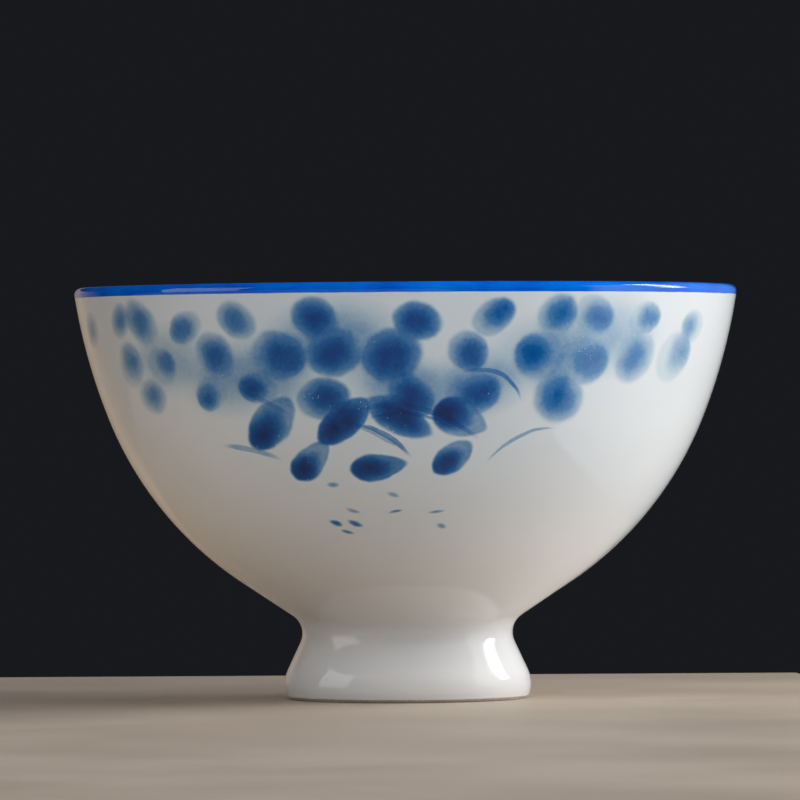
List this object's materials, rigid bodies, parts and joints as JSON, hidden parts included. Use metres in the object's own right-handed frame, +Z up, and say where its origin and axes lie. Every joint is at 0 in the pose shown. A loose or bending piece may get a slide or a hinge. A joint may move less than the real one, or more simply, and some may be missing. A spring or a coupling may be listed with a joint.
{
  "type": "teacup",
  "caption": "Footed porcelain teacup: a rounded flaring bowl on a hollow foot ring, glazed all over, with a blue line round the lip and freehand blue painting outside.",
  "frame": {"origin": "centre of the foot's standing face, on the table", "axes": "+Z up along the cup's turning axis; -Y faces the side the picture shows, where the painting is fullest"},
  "size_m": [0.0861, 0.086, 0.0535],
  "materials": {
    "clear_glaze": "clear gloss glaze over white porcelain, with soft cobalt painting under it on the outside",
    "blue_glaze": "deep ultramarine gloss glaze",
    "biscuit": "dry unglazed porcelain, faintly buff",
    "slip": "dry fired slip"
  },
  "bodies": {
    "root": {"bowl_body": "biscuit", "foot_ring": "biscuit", "luting_slip": "slip", "outer_glaze": "clear_glaze", "inner_glaze": "clear_glaze", "well_glaze": "clear_glaze", "rim_line": "blue_glaze"}
  },
  "joints": []
}
